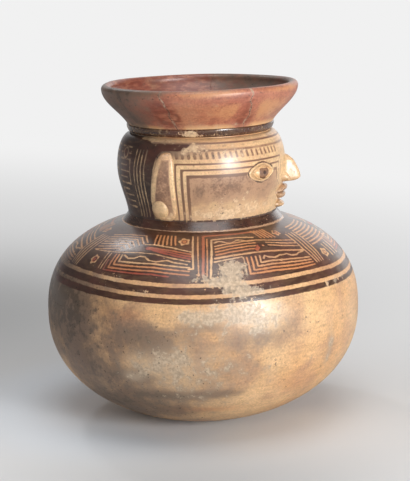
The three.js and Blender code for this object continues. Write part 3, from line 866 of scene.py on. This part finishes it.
class Nodes:
    """Builds a material's nodes. Each method gives the socket that holds its result."""

    def __init__(self, name, tree=None):
        if tree is None:
            self.material = bpy.data.materials.new(name)
            self.material.use_nodes = True
            tree = self.material.node_tree
        self.tree = tree
        tree.nodes.clear()
        coordinates = self.add("TexCoord")
        self.place, self.direction = coordinates.outputs["Object"], coordinates.outputs["Generated"]

    def add(self, kind, inputs=(), **settings):
        node = self.tree.nodes.new("ShaderNode" + kind)
        for key, value in settings.items():
            setattr(node, key, value)
        for key, value in dict(inputs).items():
            self.put(node.inputs[key], value)
        return node

    def put(self, socket, value):
        if isinstance(value, bpy.types.NodeSocket):
            self.tree.links.new(value, socket)
        else:
            socket.default_value = value

    def attribute(self, name):
        return self.add("Attribute", attribute_name=name).outputs["Fac"]

    def maths(self, operation, *values):
        return self.add("Math", enumerate(values), operation=operation).outputs[0]

    def vector(self, operation, *vectors):
        """The number that a vector operation gives."""
        return self.add("VectorMath", enumerate(vectors), operation=operation).outputs["Value"]

    def total(self, *values):
        """The sum of sockets or numbers, each of which may come with a factor."""
        result = 0.0
        for value in values:
            value, factor = value if isinstance(value, tuple) else (value, 1.0)
            result = self.maths("MULTIPLY_ADD", value, factor, result)
        return result

    def times(self, *values):
        result = values[0]
        for value in values[1:]:
            result = self.maths("MULTIPLY", result, value)
        return result

    def ramp(self, value, low, high):
        """0 at low, 1 at high, with an S-curve between."""
        settings = {"Value": value, "From Min": low, "From Max": high}
        return self.add("MapRange", settings, interpolation_type="SMOOTHSTEP").outputs["Result"]

    def noise(self, size, detail=2.0, tall=1.0, roughness=0.5, distortion=0.0):
        """Noise from 0 to 1, its features of about a size in millimetres and tall times as high as wide."""
        place = self.place
        if tall != 1.0:
            place = self.add("Mapping", {"Vector": place, "Scale": (1, 1, 1 / tall)}).outputs[0]
        settings = {"Vector": place, "Scale": 1 / (size * MM), "Detail": detail, "Roughness": roughness,
                    "Distortion": distortion}
        return self.add("TexNoise", settings).outputs["Fac"]

    def mix(self, share, first, second):
        return self.add("Mix", {0: share, 6: first, 7: second}, data_type="RGBA").outputs[2]

    def mix_shader(self, share, first, second):
        return self.add("MixShader", {0: share, 1: first, 2: second}).outputs[0]

    def show(self, shader, output="OutputMaterial"):
        self.put(self.add(output).inputs["Surface"], shader)


SLIP_BROWN = colour("#351a0f")
SLIP_RED_BROWN = colour("#4b281e")
DEEP_RED = colour("#7c3a28")
# The grey of smoke, also used for painted shade
SMOKE_AND_SHADE = colour("#6a5546")
SOOT = colour("#33291f")
SPECK = colour("#2b2420")
SHEEN = 0.9  # burnished slip reflects a little more than plain clay


def clay(name, grounds, stains, bare, gloss, mottle=0.15):
    """Burnished, fired and long-worn clay: ground, smoke and painted shade, dark slip, chips, worn patches
    and specks.
    """
    n = Nodes(name)
    pale, warm, blush = grounds
    slip, tint, wear, smoke = (n.attribute(layer) for layer in LAYERS)
    broad = n.noise(70, 2)
    blotch = n.noise(24, 5, distortion=0.5)
    streak = n.noise(14, 4, tall=0.14)
    brushed = n.noise(7, 3, tall=0.3)
    grain = n.noise(1.5, 3)
    crumbs = n.noise(7, 6, roughness=0.68)

    ground = n.mix(n.ramp(broad, 0.36, 0.64), pale, warm)
    ground = n.mix(n.times(n.ramp(blotch, 0.45, 0.75), 0.7), ground, blush)
    value = n.total(-0.25, (streak, 0.55), (grain, 1.0), (crumbs, 0.95))
    ground = n.add("HueSaturation", {"Color": ground, "Value": value}).outputs["Color"]
    stain = n.total(tint, (crumbs, mottle), (grain, mottle / 2), -mottle * 0.75)
    ground = n.mix(n.ramp(stain, 0.02, 0.5), ground, stains[0])
    ground = n.mix(n.ramp(stain, 0.5, 1.0), ground, stains[1])
    ground = n.mix(n.times(n.ramp(tint, -0.05, -0.9), n.ramp(brushed, 0.3, 0.6)), ground, DEEP_RED)

    # The layer of smoke and painted shade greys the ground, and where it is thickest soot lies in spots.
    smoke_and_shade_haze = n.total(smoke, (blotch, 1.1), (crumbs, 1.7), -1.4)
    ground = n.mix(n.times(n.ramp(smoke_and_shade_haze, 0.0, 1.05), 0.9), ground, SMOKE_AND_SHADE)
    soot = n.ramp(n.total(smoke, (crumbs, 4), -2), 1.0, 1.6)
    ground = n.mix(n.times(soot, 0.62), ground, SOOT)

    # Handling has bleached the ground a little round the worn patches.
    veil = n.times(n.ramp(n.total(wear, (crumbs, 0.8), -0.4), 0.0, 0.7), 0.5)
    ground = n.mix(veil, ground, bare[1])

    # The brush left a soft, wavering edge and a coat that thins out in places.
    edge = n.total(slip, (n.noise(2.4, 2), 0.9), (n.noise(9, 2), 0.8), -0.85)
    cover = n.ramp(edge, 0.28, -0.28)
    coat = n.total(0.88, (n.ramp(brushed, 0.3, 0.65), 0.1))
    dark = n.mix(n.ramp(n.total(blotch, (brushed, 0.25), -0.125), 0.42, 0.66), SLIP_BROWN, SLIP_RED_BROWN)
    chips = n.ramp(n.total(n.noise(3, 4, roughness=0.6), (wear, 0.3)), 0.70, 0.74)
    coat = n.times(cover, coat, n.total(1.0, (chips, -0.8)))
    surface = n.mix(coat, ground, dark)

    worn = n.ramp(n.total(wear, (crumbs, 2.4), -1.2), 0.45, 0.62)
    clay_under = n.mix(n.ramp(n.noise(2, 4), 0.36, 0.68), *bare)
    surface = n.mix(n.times(worn, 0.72), surface, clay_under)

    clusters = n.ramp(n.total(n.noise(30, 2), (smoke, 0.2)), 0.5, 0.68)
    specks = n.times(n.ramp(n.noise(1.9, 2), 0.66, 0.72), n.total(0.25, (clusters, 0.75)))
    pits = n.times(n.ramp(n.noise(5, 3, roughness=0.7), 0.67, 0.72), clusters)
    marks = n.maths("MAXIMUM", specks, pits)
    surface = n.mix(n.times(marks, 0.72), surface, SPECK)

    roughness = n.total(gloss, (streak, 0.12), (crumbs, 0.1), (worn, 0.07), (marks, 0.25), (cover, -0.04),
                        (chips, 0.1))
    height = n.total((n.noise(26, 2), 0.5), (streak, 0.05), (brushed, 0.03), (grain, 0.02), (worn, -0.06),
                     (marks, -0.05), (cover, 0.015), (n.times(cover, chips), -0.03))
    bump = n.add("Bump", {"Height": height, "Distance": MM, "Strength": 1.0}).outputs["Normal"]
    shader = n.add("BsdfPrincipled", {"Base Color": surface, "Roughness": roughness,
                                      "Specular IOR Level": SHEEN, "Normal": bump})
    n.show(shader.outputs["BSDF"])
    return n.material


def colours(*codes):
    return [colour(code) for code in codes]


BUFF = colours("#d3ad80", "#c79969", "#b78b6e")
CREAM = colours("#d8b587", "#cca276", "#c09472")
TERRACOTTA = colours("#a96a4e", "#9a5841", "#b67c5a")
ORANGES = colours("#c07f50", "#984630")
WASHES = colours("#aa8465", "#76543f")
YELLOWS = colours("#bd8559", "#cfa06f")
DUSTY = colours("#9a8871", "#c4ae93")
CREAMY = colours("#e0c298", "#b99878")
LOOKS = {  # grounds, stains, bare clay, roughness and how uneven the stains are
    "buff_clay": (BUFF, ORANGES, DUSTY, 0.23),
    "painted_shoulder": (BUFF, ORANGES, DUSTY, 0.25),
    "head_slip": (CREAM, WASHES, CREAMY, 0.25, 1.3),
    "cream_slip": (CREAM, WASHES, CREAMY, 0.25, 1.3),
    "dark_slip": (CREAM, WASHES, CREAMY, 0.16),
    "red_slip": (TERRACOTTA, YELLOWS, DUSTY, 0.32, 0.6),
}
materials = {name: clay(name, *look) for name, look in LOOKS.items()}


# Pieces

FINE, PLAIN, HEAD_COLUMNS = 900, 480, 640  # columns of vertices round the courses
LONG_OUTLINE, RIM_OUTLINE, SHORT_OUTLINE = 600, 400, 60  # points in an outline


def courses(outside, inside, paint, offset, *rows):
    """The courses of a wall from the bottom up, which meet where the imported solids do."""
    names = [row[0] for row in rows]
    heights = [None, *map(joint_between, names, names[1:]), None]
    for (name, columns, spacing, slot), low, high in zip(rows, heights, heights[1:]):
        wall(name, Curve(outside, low, high), Curve(inside, low, high), columns, spacing, paint, slot,
             offset=offset)


courses(
    body_outside.points, body_inside, paint_body, 0.0,
    ("base_bowl", PLAIN, 1.5, "buff_clay"),
    ("lower_belly_wall", PLAIN, 1.5, "buff_clay"),
    ("upper_belly_wall", PLAIN, 1.5, "buff_clay"),
    ("lower_shoulder_wall", FINE, 0.65, "painted_shoulder"),
    ("upper_shoulder_wall", FINE, 0.62, "painted_shoulder"),
)

# The head's barrel, with the quarter ellipse under the rim in equal turns
quarter = np.sin(np.radians(np.linspace(0, 90, LONG_OUTLINE)))
above_bulge = NECK_BULGE_HEIGHT + (NECK_HEIGHT - NECK_BULGE_HEIGHT) * quarter[1:]
levels = np.concatenate([np.linspace(0, NECK_BULGE_HEIGHT, LONG_OUTLINE), above_bulge])
neck_outside = np.stack([neck_radius(levels), SHOULDER_HEIGHT + levels], axis=1)
courses(
    neck_outside, neck_outside - [NECK_WALL, 0], paint_head, NECK_OFFSET,
    ("lower_head_wall", HEAD_COLUMNS, 0.6, "head_slip"),
    ("upper_head_wall", HEAD_COLUMNS, 0.6, "head_slip"),
)

# The flared rim, in the sherds that its old breaks made
flare = np.linspace(0, 1, RIM_OUTLINE)
outer_flare = np.stack([rim_radius(flare * LIP_HEIGHT), NECK_TOP + flare * LIP_HEIGHT], axis=1)
slope = np.gradient(outer_flare, axis=0)
outward = np.stack([slope[:, 1], -slope[:, 0]], axis=1) / np.linalg.norm(slope, axis=1, keepdims=True)
inner_flare = outer_flare - outward * RIM_WALL


def lip(start, end):
    """Points of the half ellipse over the wall, between two turns in degrees from its outer end."""
    turn = np.radians(np.linspace(start, end, SHORT_OUTLINE))
    across = LIP_RADIUS + (np.cos(turn) - 1) * RIM_WALL / 2
    return np.stack([across, NECK_TOP + LIP_HEIGHT + np.sin(turn) * LIP_CREST], axis=1)


CREST_TURNS = (88, 92)  # where the lip's outer and inner faces end
rim_outside = Curve(np.vstack([outer_flare[:-1], lip(0, CREST_TURNS[0])]))
rim_inside = Curve(np.vstack([inner_flare[:-2], lip(180, CREST_TURNS[1])]))

for name, start, end, columns in (
    ("rim_sherd_side", break_line("side", 1), break_line("front", -1), 110),
    ("rim_sherd_front", break_line("front", 1), break_line("back", -1), 240),
    ("rim_sherd_back", break_line("back", 1), break_line("side", -1, turn=360), 270),
):
    wall(name, rim_outside, rim_inside, columns, 0, paint_rim, "red_slip", paint_rim_inside,
         offset=NECK_OFFSET, breaks=[start, end], round_top=True)


def ring_of_clay(name, face, back, paint):
    """A roll or ridge whose face runs from its lower edge to its upper one, over a hidden back."""
    wall(name, Curve(face), Curve(back), PLAIN, 0.35, paint, "dark_slip", paint,
         offset=NECK_OFFSET, inner_spacing=2.0)


# The raised ridge in the throat, against the foot of the rim
share = np.linspace(0, 1, SHORT_OUTLINE)
ridge_level = 2 * JOINT_GAP + share * RIDGE_WIDTH
swell = np.sqrt(np.sin(np.pi * share).clip(0))
ridge_face = np.stack([rim_radius(ridge_level) - 0.1 + (RIDGE_THICKNESS + JOINT_GAP) * swell,
                       NECK_TOP + ridge_level], axis=1)
ridge_back = np.stack([rim_radius(ridge_level) - SUNK, NECK_TOP + ridge_level], axis=1)
ring_of_clay("throat_ridge", ridge_face, ridge_back, paint_ridge)

# The roll in the corner between neck and shoulder
ROLL_INSET = [3, 2.5]  # how far its hidden back lies in and below its lower edge
shoulder = body_outside.points[body_outside.points[:, 1] > EQUATOR_HEIGHT][::-1]
edge_height = np.interp(ROLL_EDGE, shoulder[:, 0], shoulder[:, 1]) - 0.5
upper_edge = np.array([neck_radius(FOOT_ROLL_HEIGHT) - 0.1, SHOULDER_HEIGHT + FOOT_ROLL_HEIGHT])
lower_edge = np.array([ROLL_EDGE, edge_height])
knee = np.array([upper_edge[0] + FOOT_ROLL_WIDTH * 0.42, SHOULDER_HEIGHT + FOOT_ROLL_HEIGHT * 0.4])
up = np.linspace(0, 1, SHORT_OUTLINE)[:, None]
roll_face = (1 - up) ** 2 * lower_edge + 2 * up * (1 - up) * knee + up**2 * upper_edge
roll_back = (1 - up) * (lower_edge - ROLL_INSET) + up * (upper_edge - [SUNK, 0])
ring_of_clay("neck_foot_roll", roll_face, roll_back, paint_roll)


# Ears, thicker along their back edges, each with a pellet on its lower back corner
def ear_lift(side):
    def lift(x, y, share):
        back = smooth(side * x, -EAR_WIDTH / 2, EAR_WIDTH / 6)
        return (1.3 + (EAR_THICKNESS - 1.3) * back) * np.sqrt(1 - share**9)

    return lift


def pellet_lift(x, y, share):
    return PELLET_THICKNESS * np.sqrt(1 - share**2.6)


# The face: almond eyes with lids, a straight nose, a closed mouth and a low chin
def eye_lift(x, y, share):
    ball = np.sqrt(np.clip(1 - (share / 0.66) ** 2, 0, 1))
    lids = np.exp(-(((share - 0.78) / 0.1) ** 2))
    return EYE_THICKNESS * np.maximum(0.92 * ball, 0.8 * lids) * smooth(share, 1.0, 0.84)


nose_top = BROW_LEVEL + NOSE_ROOT
nose_height = nose_top - NOSE_BASE_LEVEL


def nose_lift(x, y, share):
    """The bridge rises from between the eyes to a round tip with a wing on either side."""
    down = np.clip((nose_height / 2 - y) / nose_height, 0, 1)
    across = 2 * np.abs(x) / NOSE_WIDTH
    bridge = np.exp(-((across / (0.24 + 0.2 * down)) ** 2.4))
    profile = 0.2 * smooth(down, 0.0, 0.25) + 0.1 + 0.68 * smooth(down, -0.15, 0.95)
    wings = 0.44 * np.exp(-(((across - 0.5) / 0.27) ** 2)) * smooth(down, 0.5, 0.85)
    under = (1 - np.clip((down - 0.78) / 0.22, 0, 1) ** 2.2) ** 0.6
    return NOSE_TIP * np.maximum(bridge * profile, wings) * under * smooth(share, 1.0, 0.86)


def lip_lift(width, bow):
    """A lip's roundness, which narrows to the corners. bow lowers the middle of its upper edge."""

    def lift(x, y, share):
        across = 2 * np.abs(x) / width
        dent = 1 - bow * np.exp(-((across / 0.16) ** 2)) * smooth(y, -1, 2.5)
        return LIP_THICKNESS * (1 - 0.62 * across**2.2) * dent * (1 - share**2.6) ** 0.5

    return lift


def chin_lift(x, y, share):
    """The chin is fullest low down and runs out in the hollow under the lip."""
    fullness = 0.45 + 0.55 * smooth(y, CHIN_PAD_HEIGHT / 2, -CHIN_PAD_HEIGHT / 6)
    return CHIN_THICKNESS * (1 - share**2.4) ** 0.6 * fullness


for name, side in (("right", -1), ("left", 1)):
    pad(f"{name}_ear", side * EAR_ANGLE, EAR_LEVEL, EAR_WIDTH, EAR_HEIGHT, 4, ear_lift(side), paint_ear,
        "head_slip", rings=44, steps=200, edges=ear_edges, front=-side)
    aside = side * (EAR_WIDTH / 2 - PELLET_MARGIN - PELLET_WIDTH / 2)
    pellet_level = EAR_LEVEL - EAR_HEIGHT / 2 + PELLET_MARGIN + PELLET_HEIGHT / 2
    pad(f"{name}_ear_pellet", side * EAR_ANGLE + math.degrees(aside / NECK_BULGE_RADIUS), pellet_level,
        PELLET_WIDTH, PELLET_HEIGHT, 2, pellet_lift, pad_paint(0.12), base=EAR_THICKNESS)
    pad(f"{name}_eye", side * EYE_ANGLE, EYE_LEVEL, EYE_WIDTH, EYE_HEIGHT, EYE_POINTEDNESS, eye_lift,
        paint_head, rings=40, steps=144)
pad("nose", 0, (nose_top + NOSE_BASE_LEVEL) / 2, NOSE_WIDTH, nose_height, 2.6, nose_lift, pad_paint(0.12),
    rings=44, steps=144)
for name, side, width, height, bow in (
    ("upper_lip", 1, UPPER_LIP_WIDTH, UPPER_LIP_HEIGHT, 0.3),
    ("lower_lip", -1, LOWER_LIP_WIDTH, LOWER_LIP_HEIGHT, 0),
):
    level = MOUTH_LEVEL + side * (JOINT_GAP + height) / 2
    pad(name, 0, level, width, height, 1.8, lip_lift(width, bow), pad_paint(0.4), steps=144, settle=-side)
pad("chin", 0, CHIN_LEVEL + CHIN_PAD_HEIGHT / 2, CHIN_WIDTH, CHIN_PAD_HEIGHT, 2, chin_lift, pad_paint(0.12))


# Camera, light and floor

facing = math.radians(PAINTING_START)
toward_camera = Vector((math.sin(facing), -math.cos(facing), 0))
image_right = Vector((math.cos(facing), math.sin(facing), 0))
UP = Vector((0, 0, 1))

CAMERA_DISTANCE = 1.0912
CAMERA_HEIGHT = 0.3475
CAMERA_ASIDE = 0.0027
TARGET_HEIGHT = 0.1301
CAMERA_ROLL = -0.025  # radians
LENS = 110.8
SENSOR = 36
LAMPS_LOOK_AT = 0.12  # the height on the jar's axis

camera = stand("camera", bpy.data.cameras.new("camera"))
camera.data.lens = LENS
camera.data.sensor_width = SENSOR
camera.location = image_right * CAMERA_ASIDE + toward_camera * CAMERA_DISTANCE + UP * CAMERA_HEIGHT
gaze = image_right * CAMERA_ASIDE + UP * TARGET_HEIGHT - camera.location
camera.rotation_mode = "QUATERNION"
camera.rotation_quaternion = gaze.to_track_quat("-Z", "Y") @ Quaternion((0, 0, 1), CAMERA_ROLL)
bpy.context.scene.camera = camera


def softbox(name, aside, height, distance, size, power):
    """A rectangular lamp that looks at the jar from angles aside of the camera and above the floor."""
    turn, rise = math.radians(aside), math.radians(height)
    level = toward_camera * math.cos(turn) + image_right * math.sin(turn)
    away = level * math.cos(rise) + UP * math.sin(rise)
    light = bpy.data.lights.new(name, "AREA")
    light.shape = "RECTANGLE"
    light.size, light.size_y = size
    light.energy = power
    lamp = stand(name, light)
    lamp.location = UP * LAMPS_LOOK_AT + away * distance
    lamp.rotation_mode = "QUATERNION"
    lamp.rotation_quaternion = (-away).to_track_quat("-Z", "Y")


softbox("key", 37, 11, 1.5, (0.34, 0.42), 18.2)
softbox("back", -147, 45, 1.5, (0.14, 0.14), 2)
softbox("top", 20, 75, 1.6, (1.2, 1.2), 11.6)

# Pale floor with painted shade on three sides of the jar, and white far away, where it meets the background
FLOOR_RADIUS = 12.0
FLOOR_CORNERS = 96
floor_mesh = bpy.data.meshes.new("floor")
turns = np.radians(np.arange(FLOOR_CORNERS) * 360 / FLOOR_CORNERS)
corners = np.stack([np.cos(turns), np.sin(turns), 0 * turns], axis=1) * FLOOR_RADIUS
floor_mesh.from_pydata(corners.tolist(), [], [list(range(FLOOR_CORNERS))])
stand("floor", floor_mesh)

WHITE_PAPER = colour("#f1f1f1")
n = Nodes("floor_paper")


def distance_from(aside, behind):
    """Metres from a point of the floor, which lies to the camera's right of the jar and behind it."""
    return n.vector("DISTANCE", n.place, tuple(image_right * aside - toward_camera * behind))


rightward = n.vector("DOT_PRODUCT", n.place, tuple(image_right))
left_shade = n.ramp(distance_from(-0.26, 0.33), 0.5, 0.0)
front_shade = n.ramp(distance_from(0, -0.2), 0.2, 0.0)
right_shade = n.ramp(distance_from(0.2, 0), 0.25, 0.0)
path = n.add("LightPath")
tone = n.total(0.755, (left_shade, -0.29), (front_shade, -0.27), (right_shade, -0.1))
bounce = n.times(path.outputs["Is Diffuse Ray"], n.total(0.27, (n.ramp(rightward, 0.0, 0.2), 0.24)))
tone = n.times(tone, n.total(1.0, (path.outputs["Is Glossy Ray"], -0.5), bounce))
# In its shadow the floor shows less of the jar's own colour than a plain grey would.
shaded = n.ramp(distance_from(-0.05, 0.02), 0.17, 0.09)
greens, blues = (n.times(tone, n.total(1.0, (shaded, more))) for more in (0.05, 0.11))
grey = n.add("CombineColor", {0: tone, 1: greens, 2: blues}).outputs["Color"]
paper = n.add("BsdfDiffuse", {"Color": grey})
glow = n.add("Emission", {"Color": WHITE_PAPER})
seen = n.total(path.outputs["Is Camera Ray"], (path.outputs["Is Glossy Ray"], 0.6))
away = n.total(distance_from(0, 0), (rightward, 0.75))
share = n.times(n.ramp(away, 0.1, 1.4), seen)
n.show(n.mix_shader(share, paper.outputs[0], glow.outputs[0]))
floor_mesh.materials.append(n.material)

world = bpy.data.worlds.new("studio")
bpy.context.scene.world = world
world.use_nodes = True
n = Nodes("studio", tree=world.node_tree)
behind = n.vector("DOT_PRODUCT", n.direction, tuple(-toward_camera))
beside = n.vector("DOT_PRODUCT", n.direction, tuple(image_right))
paper_seen = n.times(n.ramp(behind, 0.6, 0.93), n.total(1.25, (beside, 2.2)))
sky = n.add("Background", {"Color": (1, 1, 1, 1), "Strength": 0.345})
mirrored = n.add("Background", {"Color": WHITE_PAPER, "Strength": n.total(0.16, paper_seen)})
backdrop = n.add("Background", {"Color": WHITE_PAPER})
path = n.add("LightPath")
lit = n.mix_shader(path.outputs["Is Glossy Ray"], sky.outputs[0], mirrored.outputs[0])
n.show(n.mix_shader(path.outputs["Is Camera Ray"], lit, backdrop.outputs[0]), "OutputWorld")
bpy.context.scene.view_settings.view_transform = "Standard"
